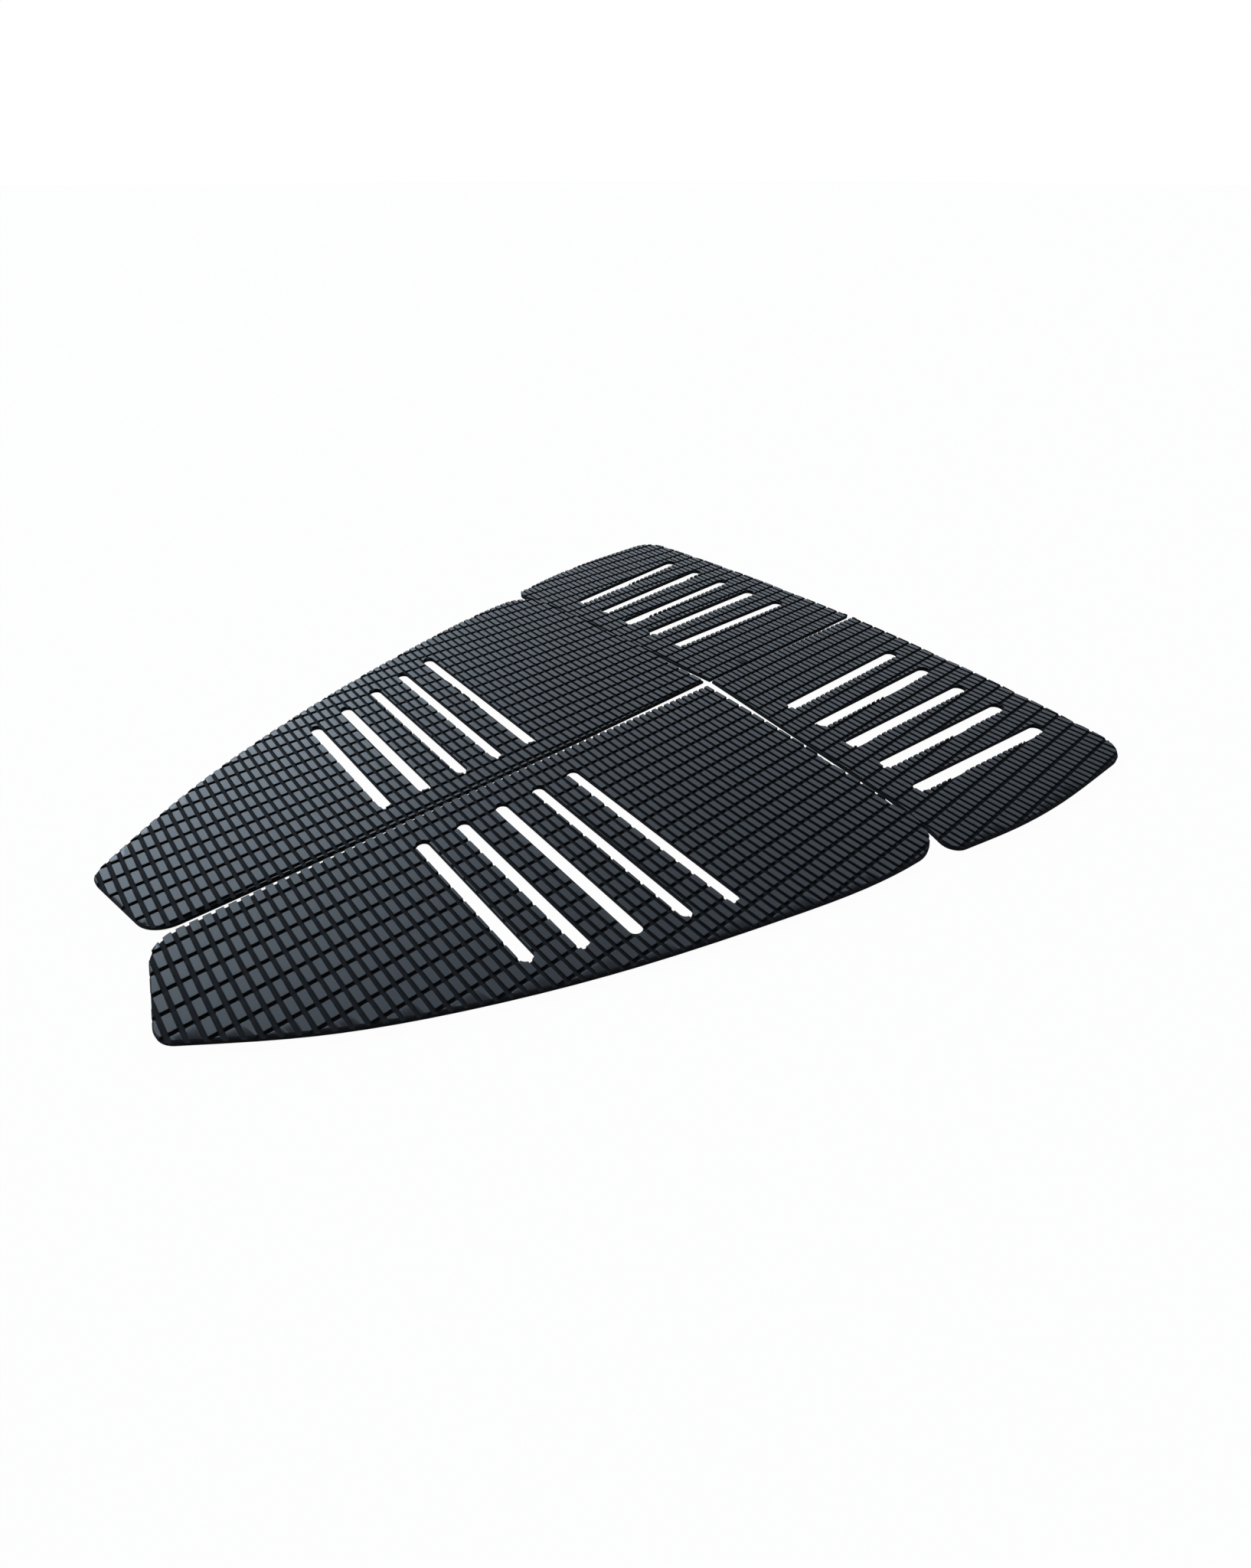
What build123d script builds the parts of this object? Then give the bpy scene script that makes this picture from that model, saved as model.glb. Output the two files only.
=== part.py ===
"""Four-piece grooved EVA deck grip, laid out flat on its release liners.

Two long pads and two short pads lie around a cross-shaped seam. +Y runs along the
centre seam from the tapered end to the wide end, +X is to the right and +Z is up,
away from the board. The origin is under the middle of the whole layout, on the
surface that the liners lie on. All sizes are in millimetres.
"""
import os

from build123d import *

os.makedirs("parts", exist_ok=True)

# ---- layers, from the resting surface up ----
LINER_THICK = 0.15
ADHESIVE_THICK = 0.15
FOAM_THICK = 2.5
RIM_BEVEL = 0.8
SQUARE_STRIP = 3.0

# ---- long pad: one corner at the junction, the other end tapers to a slanted tip ----
LONG_JUNCTION_BOW = (80.0, -2.9)
LONG_JUNCTION_END = (153.5, -9.4)
LONG_SHOULDER_RADIUS = 20.5
LONG_SHOULDER_TURN = 88.0
LONG_SIDE_POINTS = [(155.6, -107.0), (134.6, -173.8), (111.8, -230.4), (86.3, -279.7)]
LONG_SIDE_END = (56.3, -323.2)
LONG_SIDE_END_HEADING = 234.0
LONG_TIP_RADIUS = 11.0
LONG_TIP_HEADING = 168.0
LONG_HEEL_RADIUS = 15.0
LONG_HEEL_ACROSS = 0.8
LONG_SEAM_BOW = (-1.5, -149.0)

# ---- short pad: one corner at the junction, the far side is the wide end ----
SHORT_LENGTH = 138.0
SHORT_SEAM_BOW = (-0.6, 69.0)
SHORT_FAR_BOW = (95.0, 135.0)
SHORT_FAR_END = (179.5, 126.3)
SHORT_CORNER_RADIUS = 19.0
SHORT_CORNER_TURN = 83.0
SHORT_SIDE_POINTS = [(195.0, 58.0), (190.8, 20.0)]
SHORT_SIDE_END = (183.6, -13.5)
SHORT_SIDE_END_HEADING = 257.0
SHORT_NOTCH_RADIUS = 8.0
SHORT_NOTCH_TURN = 96.0
SHORT_JUNCTION_POINTS = [(150.0, -13.4), (100.0, -7.9), (55.0, -4.4)]

# ---- drain slots: five round-ended slots through every pad ----
SLOT_COUNT = 5
LONG_SLOT_WIDTH = 6.6
LONG_SLOT_PITCH = 21.84
LONG_SLOT_FIRST = -203.25
LONG_SLOT_TILT = 0.43
LONG_SLOT_INNER = 13.4
LONG_SLOT_MARGIN = 17.7
SHORT_SLOT_WIDTH = 8.3
SHORT_SLOT_LENGTH = 104.3
SHORT_SLOT_PITCH = 23.28
SHORT_SLOT_FIRST = 49.5
SHORT_SLOT_LEAN = -0.7
SHORT_SLOT_SPLAY = 1.7
SHORT_SLOT_MARGIN = 17.2

# ---- layout: junction corner of each pad from the seam cross and its turn ----
RIGHT, LEFT = 1, -1
PADS = {
    "right_long": ("long", RIGHT, (6.25, -3.7), -0.42),
    "left_long": ("long", LEFT, (-2.0, -2.3), 0.19),
    "right_short": ("short", RIGHT, (3.6, 3.8), -0.85),
    "left_short": ("short", LEFT, (0.85, 3.6), 0.28),
}

# ---- how far each pad was cut off the nominal, outwards and towards the wide end: its
# junction corner (with the seam edge, and the junction edge near the corner), and its slots ----
CORNER_SHIFT = {
    "right_long": (-0.2, 0.0),
    "left_long": (-1.35, 2.0),
    "right_short": (-0.8, 0.0),
    "left_short": (0.0, 0.0),
}
SLOT_SHIFT = {
    "right_long": (1.8, 0.0),
    "left_long": (-1.8, -1.1),
    "right_short": (0.25, 0.2),
    "left_short": (-3.15, 0.6),
}


def distance_from_seam(edge, height):
    """Distance from the seam to the point of an outline edge at a given height."""
    level = Axis((0, height, 0), (1, 0, 0))
    return edge.intersect(level).vertices()[0].X


def height_at(edge, across):
    """Height of the point of an outline edge at a given distance from the seam."""
    upright = Axis((across, 0, 0), (0, 1, 0))
    return edge.intersect(upright).vertices()[0].Y


def long_outline(trim, rise):
    """Right-hand long pad, junction corner at (trim, rise), and the outer side its slots follow."""
    with BuildSketch() as pad:
        with BuildLine():
            bow = Vector(*LONG_JUNCTION_BOW) + Vector(0, rise / 2)
            junction = ThreePointArc((trim, rise), bow, LONG_JUNCTION_END)
            shoulder = JernArc(junction @ 1, junction % 1, LONG_SHOULDER_RADIUS, -LONG_SHOULDER_TURN)
            side = Spline(
                [shoulder @ 1, *LONG_SIDE_POINTS, LONG_SIDE_END],
                tangents=[shoulder % 1, Vector(1, 0).rotate(Axis.Z, LONG_SIDE_END_HEADING)],
            )
            tip_turn = LONG_TIP_HEADING - LONG_SIDE_END_HEADING
            tip = JernArc(side @ 1, side % 1, LONG_TIP_RADIUS, tip_turn)
            run = (LONG_HEEL_ACROSS + trim - (tip @ 1).X) / (tip % 1).X
            slant = Line(tip @ 1, tip @ 1 + tip % 1 * run)
            ThreePointArc(slant @ 1, Vector(*LONG_SEAM_BOW) + Vector(trim, 0), junction @ 0)
        make_face()
        fillet(pad.vertices().sort_by_distance(slant @ 1)[0], LONG_HEEL_RADIUS)
    return pad.sketch, side


def short_outline(trim, rise):
    """Right-hand short pad, junction corner at (trim, rise), and the junction edge its slots follow."""
    with BuildSketch() as pad:
        with BuildLine():
            bow = Vector(*SHORT_SEAM_BOW) + Vector(trim, 0)
            seam = ThreePointArc((trim, rise), bow, (trim, SHORT_LENGTH))
            far = ThreePointArc(seam @ 1, SHORT_FAR_BOW, SHORT_FAR_END)
            corner = JernArc(far @ 1, far % 1, SHORT_CORNER_RADIUS, -SHORT_CORNER_TURN)
            side = Spline(
                [corner @ 1, *SHORT_SIDE_POINTS, SHORT_SIDE_END],
                tangents=[corner % 1, Vector(1, 0).rotate(Axis.Z, SHORT_SIDE_END_HEADING)],
            )
            notch = JernArc(side @ 1, side % 1, SHORT_NOTCH_RADIUS, -SHORT_NOTCH_TURN)
            junction = Spline(
                [notch @ 1, *SHORT_JUNCTION_POINTS, seam @ 0],
                tangents=[notch % 1, (seam @ 0 - Vector(*SHORT_JUNCTION_POINTS[-1])).normalized()],
            )
        make_face()
    return pad.sketch, junction


def long_slots(side):
    """Cross slots of a long pad, longer where the pad is wider."""
    with BuildSketch() as slots:
        for number in range(SLOT_COUNT):
            height = LONG_SLOT_FIRST + number * LONG_SLOT_PITCH
            length = distance_from_seam(side, height) - LONG_SLOT_MARGIN - LONG_SLOT_INNER
            start = Vector(LONG_SLOT_INNER, height)
            middle = start + Vector(1, 0).rotate(Axis.Z, LONG_SLOT_TILT) * (length / 2)
            with Locations(Location(middle, (0, 0, LONG_SLOT_TILT))):
                SlotOverall(length, LONG_SLOT_WIDTH)
    return slots.sketch


def short_slots(junction):
    """Lengthwise slots of a short pad, splayed like a fan towards the wide end."""
    with BuildSketch() as slots:
        for number in range(SLOT_COUNT):
            across = SHORT_SLOT_FIRST + number * SHORT_SLOT_PITCH
            lean = SHORT_SLOT_LEAN + number * SHORT_SLOT_SPLAY
            start = Vector(across, height_at(junction, across) + SHORT_SLOT_MARGIN)
            middle = start + Vector(0, 1).rotate(Axis.Z, -lean) * (SHORT_SLOT_LENGTH / 2)
            with Locations(Location(middle, (0, 0, 90 - lean))):
                SlotOverall(SHORT_SLOT_LENGTH, SHORT_SLOT_WIDTH)
    return slots.sketch


OUTLINE_OF = {"long": long_outline, "short": short_outline}
SLOTS_OF = {"long": long_slots, "short": short_slots}
# From the junction corner a long pad reaches towards the tapered end, a short one to the wide end.
INWARD = {"long": -1, "short": 1}


def pad_plane(corner, turn, height):
    """Working plane of one pad: its junction corner, turned in plan, at a height."""
    return Plane((*corner, height), x_dir=Vector(1, 0).rotate(Axis.Z, turn), z_dir=(0, 0, 1))


def handed(sketch, side):
    """A right-hand sketch, mirrored in the seam for the left-hand side."""
    return sketch if side == RIGHT else sketch.mirror(Plane.YZ)


def square_rim(outline, shape):
    """Strip along the seam and junction edges of a pad, where its rim is cut square."""
    step = Location((SQUARE_STRIP, SQUARE_STRIP * INWARD[shape], 0))
    return outline - outline.moved(step)


OUTLINES = {}
FOOTPRINTS = {}
for name, (shape, side, corner, turn) in PADS.items():
    outline, guide = OUTLINE_OF[shape](*CORNER_SHIFT[name])
    OUTLINES[name] = outline
    FOOTPRINTS[name] = outline - SLOTS_OF[shape](guide).moved(Location((*SLOT_SHIFT[name], 0)))

# The frame's origin is the middle of the layout as the pads lie.
layout = Compound(
    children=[
        pad_plane(corner, turn, 0).from_local_coords(handed(OUTLINES[name], side))
        for name, (shape, side, corner, turn) in PADS.items()
    ]
).bounding_box()
layout_centre = layout.center()

for name, (shape, side, corner, turn) in PADS.items():
    footprint = handed(FOOTPRINTS[name], side)
    seat = (corner[0] - layout_centre.X, corner[1] - layout_centre.Y)

    # Release liner: siliconised paper that covers the adhesive until the pad is stuck down.
    with BuildPart() as liner:
        with BuildSketch(pad_plane(seat, turn, 0)):
            add(footprint)
        extrude(amount=LINER_THICK)
    liner.part.label = f"{name}_liner"
    export_step(liner.part, f"parts/{name}_liner.step")

    # Pressure-sensitive adhesive film, laminated to the whole underside of the foam.
    with BuildPart() as adhesive:
        with BuildSketch(pad_plane(seat, turn, LINER_THICK)):
            add(footprint)
        extrude(amount=ADHESIVE_THICK)
    adhesive.part.label = f"{name}_adhesive"
    export_step(adhesive.part, f"parts/{name}_adhesive.step")

    # Closed-cell foam pad: its outer rim is bevelled, its seam and junction edges are square.
    with BuildPart() as foam:
        with BuildSketch(pad_plane(seat, turn, LINER_THICK + ADHESIVE_THICK)):
            add(footprint)
        extrude(amount=FOAM_THICK)
        chamfer(foam.faces().sort_by(Axis.Z)[-1].outer_wire().edges(), RIM_BEVEL)
        with BuildSketch(pad_plane(seat, turn, LINER_THICK + ADHESIVE_THICK)):
            add(handed(square_rim(OUTLINES[name], shape), side))
        extrude(amount=FOAM_THICK)
    foam.part.label = f"{name}_foam"
    export_step(foam.part, f"parts/{name}_foam.step")
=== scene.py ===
import math

import bmesh
import bpy
import numpy as np
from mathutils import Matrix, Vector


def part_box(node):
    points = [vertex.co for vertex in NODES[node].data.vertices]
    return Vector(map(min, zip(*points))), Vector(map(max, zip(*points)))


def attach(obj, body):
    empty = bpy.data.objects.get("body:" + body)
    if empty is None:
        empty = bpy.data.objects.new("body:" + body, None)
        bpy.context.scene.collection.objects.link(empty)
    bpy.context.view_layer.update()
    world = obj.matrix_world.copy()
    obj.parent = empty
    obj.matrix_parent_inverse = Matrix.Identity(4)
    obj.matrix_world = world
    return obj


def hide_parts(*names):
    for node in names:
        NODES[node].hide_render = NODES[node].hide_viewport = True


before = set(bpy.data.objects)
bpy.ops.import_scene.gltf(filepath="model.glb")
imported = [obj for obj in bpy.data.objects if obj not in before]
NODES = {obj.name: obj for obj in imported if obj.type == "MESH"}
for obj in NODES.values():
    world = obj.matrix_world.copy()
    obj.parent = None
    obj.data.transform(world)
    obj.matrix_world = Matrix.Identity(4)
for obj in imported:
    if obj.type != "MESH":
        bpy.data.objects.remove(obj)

bpy.context.view_layer.update()

# ---------------------------------------------------------------- moulded relief
# Lengths are in millimetres here, and metres once a mesh is made.
GROOVE_DEPTH = 1.25
ROW_GROOVE = 1.7
COLUMN_GROOVE = 1.9
CORNER_RADIUS = 0.45
LEAST_RADIUS = 0.1
EDGE_ROUND = 0.22
FOOT_ROUND = 0.30
WALL_DRAFT = 0.06
ROUND_STEP = 0.3
CAP_INSET = 0.35
CAP_DOME = 0.005
TOP_GAP = 0.01
COLUMN_PITCH = 10.6
ROW_PITCH = 4.9
SHEET_OVERHANG = 1.0
# Metres: vertices closer than this are one, after the cut and when a CAD mesh is welded.
WELD = 2e-6
CAD_WELD = 1e-6
SHARP_ANGLE = math.radians(22)

# Where each pad's grid lies, in the pad's own coordinates: u runs out from the seam, v towards
# the wide end, and the pad's junction corner is its seat. Columns are the long grooves and rows
# the cross grooves; each is (first, pitch, gain in pitch). The grid isn't quite straight: lean,
# fan, tilt and bow bend it as on the real mouldings.
PADS = {
    "right_long": {
        "side": 1, "seat": (2.999, 90.694), "turn": -0.46,
        "columns": (7.5, 10.6, -0.034), "lean": -0.13, "fan": -2.1,
        "rows": (1.9, 4.58, -0.0066), "tilt": -3.2, "bow": 2.2, "spread": -0.5,
        "count": (-2, 18, -74, 4),
    },
    "left_long": {
        "side": -1, "seat": (-4.251, 93.894), "turn": 0.38,
        "columns": (9.3, 9.73, 0.032), "lean": -0.64, "fan": -3.6,
        "rows": (1.1, 4.79, -0.004), "tilt": -3.8, "bow": 2.2, "spread": -1.26,
        "count": (-2, 18, -74, 4),
    },
    "right_short": {
        "side": 1, "seat": (1.249, 98.994), "turn": -0.7,
        "columns": (8.9, 10.42, -0.017), "lean": -1.1, "fan": -2.7,
        "rows": (3.4, 4.22, 0.0065), "tilt": -3.4, "bow": 1.1, "spread": 1.4,
        "count": (-2, 20, -8, 34),
    },
    "left_short": {
        "side": -1, "seat": (-3.351, 96.794), "turn": 0.2,
        "columns": (6.5, 10.0, 0.02), "lean": 0.6, "fan": -2.7,
        "rows": (0.3, 4.39, 0.002), "tilt": -2.8, "bow": 1.5, "spread": 1.4,
        "count": (-2, 20, -8, 34),
    },
}


def grid_point(pad, a, b):
    """Frame x and y, in millimetres, of the grid's column line a and row line b."""
    first, pitch, gain = pad["columns"]
    u = first + pitch * a + gain * a * a
    start, step, growth = pad["rows"]
    v = start + step * b + growth * b * b
    lean_u = u + pad["lean"] * v / 100 + pad["fan"] * u * v / 1e4
    bow_v = v + pad["tilt"] * u / 100 + pad["bow"] * u * u / 1e4 + pad["spread"] * u * v / 1e4
    turn = math.radians(pad["turn"])
    x = pad["seat"][0] + pad["side"] * lean_u * math.cos(turn) - bow_v * math.sin(turn)
    y = pad["seat"][1] + pad["side"] * lean_u * math.sin(turn) + bow_v * math.cos(turn)
    return x, y


# Signs of x and y in the four quarters of a block, counterclockwise.
QUARTERS = [(1, 1), (-1, 1), (-1, -1), (1, -1)]
HALF_X = (COLUMN_PITCH - COLUMN_GROOVE) / 2
HALF_Y = (ROW_PITCH - ROW_GROOVE) / 2


def cell_border():
    """Border of a block's cell on the groove floor, three points to a quarter."""
    points = []
    for quarter, (sign_x, sign_y) in enumerate(QUARTERS):
        side_point = (sign_x * COLUMN_PITCH / 2, sign_y * (HALF_Y - CORNER_RADIUS), GROOVE_DEPTH)
        end_point = (sign_x * (HALF_X - CORNER_RADIUS), sign_y * ROW_PITCH / 2, GROOVE_DEPTH)
        corner = (sign_x * COLUMN_PITCH / 2, sign_y * ROW_PITCH / 2, GROOVE_DEPTH)
        outline = [side_point, corner, end_point]
        points += outline if quarter in (0, 2) else outline[::-1]
    return points


def block_ring(grow, depth):
    """Round-cornered ring about a block, larger than its top edge by grow, at a depth."""
    points = []
    radius = max(CORNER_RADIUS + grow, LEAST_RADIUS)
    for quarter, (sign_x, sign_y) in enumerate(QUARTERS):
        centre_x = sign_x * (HALF_X + grow - radius)
        centre_y = sign_y * (HALF_Y + grow - radius)
        for step in range(3):
            angle = math.radians(90 * quarter + 45 * step)
            x = centre_x + radius * math.cos(angle)
            y = centre_y + radius * math.sin(angle)
            points.append((x, y, depth))
    return points


def block_rings():
    """One block as rings of points (x, y, depth below the top), from its cell's border to its cap."""
    foot_step = FOOT_ROUND * ROUND_STEP
    edge_step = EDGE_ROUND * ROUND_STEP
    return [
        cell_border(),
        block_ring(WALL_DRAFT + FOOT_ROUND, GROOVE_DEPTH),
        block_ring(WALL_DRAFT + foot_step, GROOVE_DEPTH - foot_step),
        block_ring(WALL_DRAFT, GROOVE_DEPTH - FOOT_ROUND),
        block_ring(0.0, EDGE_ROUND),
        block_ring(-edge_step, edge_step),
        block_ring(-EDGE_ROUND, 0.0),
        block_ring(-EDGE_ROUND - CAP_INSET, -CAP_DOME),
    ]


def grooved_sheet(name, pad, top, bottom):
    """A closed sheet, larger than the pad, whose upper side is the moulded grid of blocks."""
    rings = block_rings()
    first_a, last_a, first_b, last_b = pad["count"]
    template = np.array([point for ring in rings for point in ring])
    count = len(rings[0])
    cells = [(a, b) for a in range(first_a, last_a) for b in range(first_b, last_b)]
    verts = []
    faces = []
    for a, b in cells:
        base = len(verts)
        grid_a = a + 0.5 + template[:, 0] / COLUMN_PITCH
        grid_b = b + 0.5 + template[:, 1] / ROW_PITCH
        x, y = grid_point(pad, grid_a, grid_b)
        z = top - TOP_GAP - template[:, 2]
        verts += list(zip(x / 1000, y / 1000, z / 1000))
        for level in range(len(rings) - 1):
            for i in range(count):
                j = (i + 1) % count
                low = base + level * count
                high = low + count
                faces.append((low + i, low + j, high + j, high + i))
        cap = base + (len(rings) - 1) * count
        faces.append(tuple(cap + i for i in range(count)))
    mesh = bpy.data.meshes.new(name)
    mesh.from_pydata(verts, [], faces)
    bm = bmesh.new()
    bm.from_mesh(mesh)
    bmesh.ops.remove_doubles(bm, verts=bm.verts, dist=WELD)
    rim = [e for e in bm.edges if e.is_boundary]
    skirt = bmesh.ops.extrude_edge_only(bm, edges=rim)["geom"]
    for part in skirt:
        if isinstance(part, bmesh.types.BMVert):
            part.co.z = bottom / 1000
    low_edges = [e for e in bm.edges if e.is_boundary]
    bmesh.ops.contextual_create(bm, geom=low_edges)
    bmesh.ops.recalc_face_normals(bm, faces=bm.faces)
    bm.to_mesh(mesh)
    bm.free()
    sheet = bpy.data.objects.new(name, mesh)
    bpy.context.scene.collection.objects.link(sheet)
    return sheet


def foam_piece(name):
    """A pad's foam: the CAD node's outline, slots and bevelled rim with the moulded grid on top."""
    node = NODES[name + "_foam"]
    low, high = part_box(name + "_foam")
    piece = bpy.data.objects.new(name + "_grip", node.data.copy())
    bpy.context.scene.collection.objects.link(piece)
    bm = bmesh.new()
    bm.from_mesh(piece.data)
    bmesh.ops.remove_doubles(bm, verts=bm.verts, dist=CAD_WELD)
    bmesh.ops.recalc_face_normals(bm, faces=bm.faces)
    bm.to_mesh(piece.data)
    bm.free()
    bottom = low.z * 1000 - SHEET_OVERHANG
    sheet = grooved_sheet(name + "_sheet", PADS[name], high.z * 1000, bottom)
    cut = piece.modifiers.new("grid", "BOOLEAN")
    cut.operation = "INTERSECT"
    cut.solver = "MANIFOLD"
    cut.object = sheet
    evaluated = piece.evaluated_get(bpy.context.evaluated_depsgraph_get())
    grooved = bpy.data.meshes.new_from_object(evaluated)
    piece.modifiers.clear()
    piece.data = grooved
    bpy.data.objects.remove(sheet)
    bm = bmesh.new()
    bm.from_mesh(piece.data)
    bmesh.ops.remove_doubles(bm, verts=bm.verts, dist=WELD)
    bmesh.ops.dissolve_degenerate(bm, edges=bm.edges, dist=WELD)
    bm.to_mesh(piece.data)
    bm.free()
    piece.data.set_sharp_from_angle(angle=SHARP_ANGLE)
    return piece


# ---------------------------------------------------------------- materials
class Nodes:
    """Short calls for building a node material."""

    def __init__(self, name):
        self.material = bpy.data.materials.new(name)
        self.material.use_nodes = True
        self.tree = self.material.node_tree
        self.tree.nodes.clear()
        self.output = self.add("ShaderNodeOutputMaterial")
        self.shader = self.add("ShaderNodeBsdfPrincipled")
        self.link(self.shader.outputs["BSDF"], self.output.inputs["Surface"])
        coordinates = self.add("ShaderNodeTexCoord")
        self.place = coordinates.outputs["Object"]

    def add(self, kind, **values):
        node = self.tree.nodes.new(kind)
        for key, value in values.items():
            setattr(node, key, value)
        return node

    def link(self, source, target):
        self.tree.links.new(source, target)

    def set(self, **values):
        for key, value in values.items():
            self.shader.inputs[key.replace("_", " ")].default_value = value

    def noise(self, scale, detail=2.0, roughness=0.5, place=None):
        node = self.add("ShaderNodeTexNoise")
        node.inputs["Scale"].default_value = scale
        node.inputs["Detail"].default_value = detail
        node.inputs["Roughness"].default_value = roughness
        self.link(place or self.place, node.inputs["Vector"])
        return node.outputs["Fac"]

    def cells(self, scale):
        node = self.add("ShaderNodeTexVoronoi")
        node.inputs["Scale"].default_value = scale
        self.link(self.place, node.inputs["Vector"])
        return node.outputs["Distance"]

    def stretched(self, x, y, z):
        node = self.add("ShaderNodeMapping")
        node.inputs["Scale"].default_value = (x, y, z)
        self.link(self.place, node.inputs["Vector"])
        return node.outputs["Vector"]

    def remap(self, value, low, high, to_low=0.0, to_high=1.0, smooth=False):
        node = self.add("ShaderNodeMapRange")
        node.interpolation_type = "SMOOTHSTEP" if smooth else "LINEAR"
        node.inputs["From Min"].default_value = low
        node.inputs["From Max"].default_value = high
        node.inputs["To Min"].default_value = to_low
        node.inputs["To Max"].default_value = to_high
        self.link(value, node.inputs["Value"])
        return node.outputs["Result"]

    def math(self, operation, first, second):
        node = self.add("ShaderNodeMath", operation=operation)
        for value, socket in ((first, node.inputs[0]), (second, node.inputs[1])):
            if isinstance(value, (int, float)):
                socket.default_value = value
            else:
                self.link(value, socket)
        return node.outputs["Value"]

    def mix(self, factor, first, second):
        node = self.add("ShaderNodeMix", data_type="RGBA")
        if isinstance(factor, (int, float)):
            node.inputs["Factor"].default_value = factor
        else:
            self.link(factor, node.inputs["Factor"])
        for value, socket in ((first, node.inputs[6]), (second, node.inputs[7])):
            if isinstance(value, tuple):
                socket.default_value = (*value, 1.0)
            else:
                self.link(value, socket)
        return node.outputs[2]

    def bump(self, height, strength, distance, normal=None):
        node = self.add("ShaderNodeBump")
        node.inputs["Strength"].default_value = strength
        node.inputs["Distance"].default_value = distance
        self.link(height, node.inputs["Height"])
        if normal is not None:
            self.link(normal, node.inputs["Normal"])
        return node.outputs["Normal"]


# Heights, in metres, between which the foam goes from the groove floor's painted shade to the block
# top's own tone, and from matt to satin.
GROOVE_TO_TOP = (0.0018, 0.0026)


def foam_material():
    """Black closed-cell EVA: satin block tops, groove floors darkened with painted shade, and matt
    walls and cut edges painted near black as shade.
    """
    m = Nodes("eva_foam")
    geometry = m.add("ShaderNodeNewGeometry")
    facing = m.add("ShaderNodeSeparateXYZ")
    m.link(geometry.outputs["True Normal"], facing.inputs["Vector"])
    where = m.add("ShaderNodeSeparateXYZ")
    m.link(m.place, where.inputs["Vector"])
    upward = m.remap(facing.outputs["Z"], 0.45, 0.9, smooth=True)
    raised = m.remap(where.outputs["Z"], *GROOVE_TO_TOP, smooth=True)
    patches = m.noise(9.0, 3.0)
    blotches = m.noise(60.0, 2.0)
    grain = m.noise(2600.0, 3.0, 0.6)
    pores = m.cells(3400.0)
    top = m.mix(m.remap(patches, 0.35, 0.65), (0.020, 0.025, 0.033), (0.027, 0.033, 0.042))
    top = m.mix(m.remap(blotches, 0.35, 0.7, 0.0, 0.35), top, (0.022, 0.030, 0.042))
    top = m.mix(m.remap(grain, 0.3, 0.7, 0.0, 0.4), top, (0.040, 0.046, 0.056))
    # Groove floors: painted shade, much darker than the tops, mottled at random by the blotches.
    floor = m.mix(m.remap(blotches, 0.35, 0.65), (0.003, 0.005, 0.009), (0.005, 0.008, 0.013))
    # Block tops keep their own tone; lower down, the painted groove shade takes over.
    level = m.mix(raised, floor, top)
    # Walls and cut edges: painted shade near black, picked out by the sideways-facing mask and
    # mottled by the pores.
    wall_pores_and_shade = m.mix(m.remap(pores, 0.1, 0.6), (0.001, 0.0013, 0.0018), (0.003, 0.0034, 0.0042))
    m.link(m.mix(upward, wall_pores_and_shade, level), m.shader.inputs["Base Color"])
    satin = m.remap(grain, 0.25, 0.75, 0.38, 0.50)
    matt = m.math("MULTIPLY", m.math("SUBTRACT", 1.0, m.math("MULTIPLY", upward, raised)), 0.5)
    m.link(m.math("ADD", satin, matt), m.shader.inputs["Roughness"])
    coarse = m.bump(m.noise(700.0, 2.0), 0.25, 0.00006)
    fine = m.bump(grain, 0.45, 0.00003, coarse)
    pitted = m.bump(pores, 0.25, 0.00003, fine)
    m.link(pitted, m.shader.inputs["Normal"])
    m.set(Specular_IOR_Level=0.4, Sheen_Weight=0.05, Sheen_Roughness=0.4)
    return m.material


def adhesive_material():
    """Clear pressure-sensitive adhesive, dark against the foam, faintly streaked from its coating."""
    m = Nodes("adhesive_film")
    streaks = m.noise(40.0, 3.0, 0.6, m.stretched(1.0, 0.08, 1.0))
    speckle = m.noise(900.0, 2.0)
    tone = m.mix(m.remap(streaks, 0.35, 0.65), (0.060, 0.057, 0.050), (0.085, 0.080, 0.068))
    tone = m.mix(m.remap(speckle, 0.5, 0.8, 0.0, 0.5), tone, (0.11, 0.105, 0.09))
    m.link(tone, m.shader.inputs["Base Color"])
    m.link(m.remap(streaks, 0.3, 0.7, 0.18, 0.34), m.shader.inputs["Roughness"])
    m.link(m.bump(speckle, 0.3, 0.00002), m.shader.inputs["Normal"])
    m.set(Coat_Weight=0.3, Coat_Roughness=0.12)
    return m.material


def liner_material():
    """Siliconised release paper: off-white, mottled by its fibres, softly cockled, low in gloss."""
    m = Nodes("release_paper")
    cloud = m.noise(26.0, 4.0, 0.6)
    fibres = m.noise(420.0, 4.0, 0.65, m.stretched(1.0, 0.22, 1.0))
    flecks = m.noise(1500.0, 2.0, 0.6)
    tone = m.mix(m.remap(cloud, 0.35, 0.65), (0.66, 0.645, 0.60), (0.74, 0.73, 0.695))
    tone = m.mix(m.remap(fibres, 0.3, 0.7, 0.0, 0.55), tone, (0.80, 0.79, 0.76))
    tone = m.mix(m.remap(flecks, 0.62, 0.8, 0.0, 0.4), tone, (0.50, 0.46, 0.38))
    m.link(tone, m.shader.inputs["Base Color"])
    m.link(m.remap(cloud, 0.3, 0.7, 0.34, 0.5), m.shader.inputs["Roughness"])
    cockle = m.bump(m.noise(16.0, 2.0), 0.5, 0.0012)
    m.link(m.bump(fibres, 0.3, 0.00004, cockle), m.shader.inputs["Normal"])
    m.set(Coat_Weight=0.25, Coat_Roughness=0.25)
    return m.material


# Share of the floor's brightness to camera rays that it gives off itself.
FLOOR_GLOW = 0.97


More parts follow.
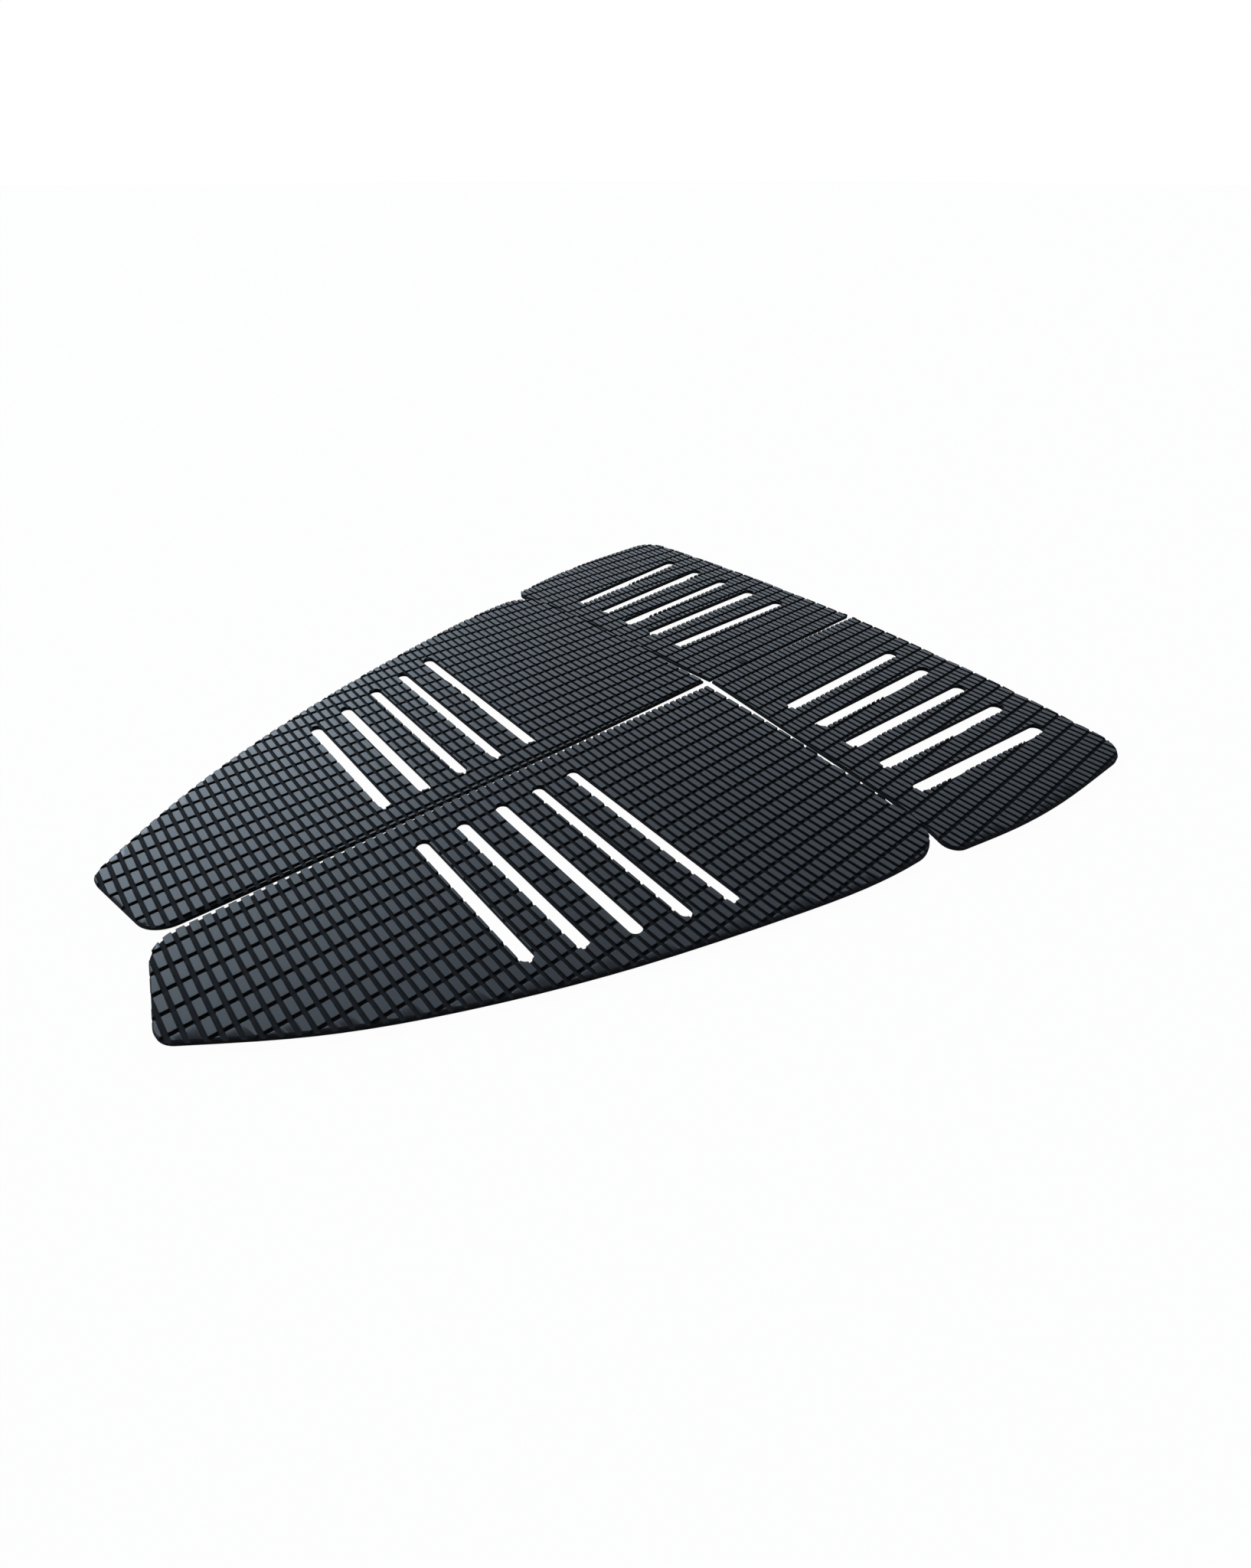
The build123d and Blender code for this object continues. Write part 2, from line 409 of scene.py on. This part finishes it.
def floor_material():
    """Pale seamless studio floor, evenly lit as far as the camera sees it."""
    m = Nodes("studio_floor")
    tone = m.mix(m.remap(m.noise(3.0, 2.0), 0.3, 0.7), (0.86, 0.86, 0.86), (0.88, 0.88, 0.88))
    m.link(tone, m.shader.inputs["Base Color"])
    m.set(Roughness=0.9)
    glow = m.add("ShaderNodeEmission")
    glow.inputs["Color"].default_value = (1.0, 1.0, 1.0, 1.0)
    seen = m.add("ShaderNodeLightPath")
    blend = m.add("ShaderNodeMixShader")
    m.link(m.math("MULTIPLY", seen.outputs["Is Camera Ray"], FLOOR_GLOW), blend.inputs["Fac"])
    m.link(m.shader.outputs["BSDF"], blend.inputs[1])
    m.link(glow.outputs["Emission"], blend.inputs[2])
    m.link(blend.outputs["Shader"], m.output.inputs["Surface"])
    return m.material


# ---------------------------------------------------------------- pieces
FOAM = foam_material()
ADHESIVE = adhesive_material()
LINER = liner_material()

for pad_name in PADS:
    grip = foam_piece(pad_name)
    grip.data.materials.clear()
    grip.data.materials.append(FOAM)
    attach(grip, "root")
    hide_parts(pad_name + "_foam")
    for layer, material in (("adhesive", ADHESIVE), ("liner", LINER)):
        node = NODES[pad_name + "_" + layer]
        node.data.materials.clear()
        node.data.materials.append(material)

# ---------------------------------------------------------------- stage, light and camera
FLOOR_REACH = 30.0
FLOOR_HEIGHT = -0.0003
AMBIENT = 0.08
CAMERA_PLACE = (0.2897, -0.2136, 0.25)
CAMERA_HEADING = math.radians(50.07)
CAMERA_DIP = math.radians(37.91)
FOCAL_LENGTH = 18.01
SENSOR_WIDTH = 36.0

floor_mesh = bpy.data.meshes.new("floor")
corners = [(FLOOR_REACH * x, FLOOR_REACH * y, 0) for x, y in ((-1, -1), (1, -1), (1, 1), (-1, 1))]
floor_mesh.from_pydata(corners, [], [(0, 1, 2, 3)])
floor_mesh.materials.append(floor_material())
floor = bpy.data.objects.new("floor", floor_mesh)
floor.location.z = FLOOR_HEIGHT
bpy.context.scene.collection.objects.link(floor)


def key_light(name, heading, elevation, spread, strength, colour):
    """A distant soft light; it comes from a compass heading (0 is +X) at an elevation."""
    lamp = bpy.data.lights.new(name, "SUN")
    lamp.angle = math.radians(spread)
    lamp.energy = strength
    lamp.color = colour
    sun = bpy.data.objects.new(name, lamp)
    sun.rotation_euler = (math.radians(90 - elevation), 0.0, math.radians(heading + 90))
    bpy.context.scene.collection.objects.link(sun)


key_light("key", 190.0, 24.0, 18.0, 1.45, (0.72, 0.86, 1.0))
key_light("key_side", 168.0, 24.0, 18.0, 0.95, (0.74, 0.87, 1.0))
key_light("rim", 143.0, 23.0, 24.0, 0.36, (0.80, 0.90, 1.0))
key_light("rim_side", 118.0, 24.0, 30.0, 0.42, (0.80, 0.90, 1.0))
key_light("overhead", 320.0, 88.0, 60.0, 0.30, (0.90, 0.95, 1.0))

world = bpy.data.worlds.new("studio")
world.use_nodes = True
tree = world.node_tree
tree.nodes.clear()
seen = tree.nodes.new("ShaderNodeLightPath")
shade = tree.nodes.new("ShaderNodeMapRange")
shade.inputs["To Min"].default_value = AMBIENT
shade.inputs["To Max"].default_value = 1.0
tree.links.new(seen.outputs["Is Camera Ray"], shade.inputs["Value"])
back = tree.nodes.new("ShaderNodeBackground")
back.inputs["Color"].default_value = (1.0, 1.0, 1.0, 1.0)
tree.links.new(shade.outputs["Result"], back.inputs["Strength"])
out = tree.nodes.new("ShaderNodeOutputWorld")
tree.links.new(back.outputs["Background"], out.inputs["Surface"])
bpy.context.scene.world = world
bpy.context.scene.view_settings.view_transform = "Standard"

lens = bpy.data.cameras.new("camera")
lens.sensor_width = SENSOR_WIDTH
lens.lens = FOCAL_LENGTH
lens.clip_start = 0.01
lens.clip_end = 200.0
camera = bpy.data.objects.new("camera", lens)
camera.location = CAMERA_PLACE
camera.rotation_euler = (math.radians(90) - CAMERA_DIP, 0.0, CAMERA_HEADING)
bpy.context.scene.collection.objects.link(camera)
bpy.context.scene.camera = camera

bpy.context.view_layer.update()
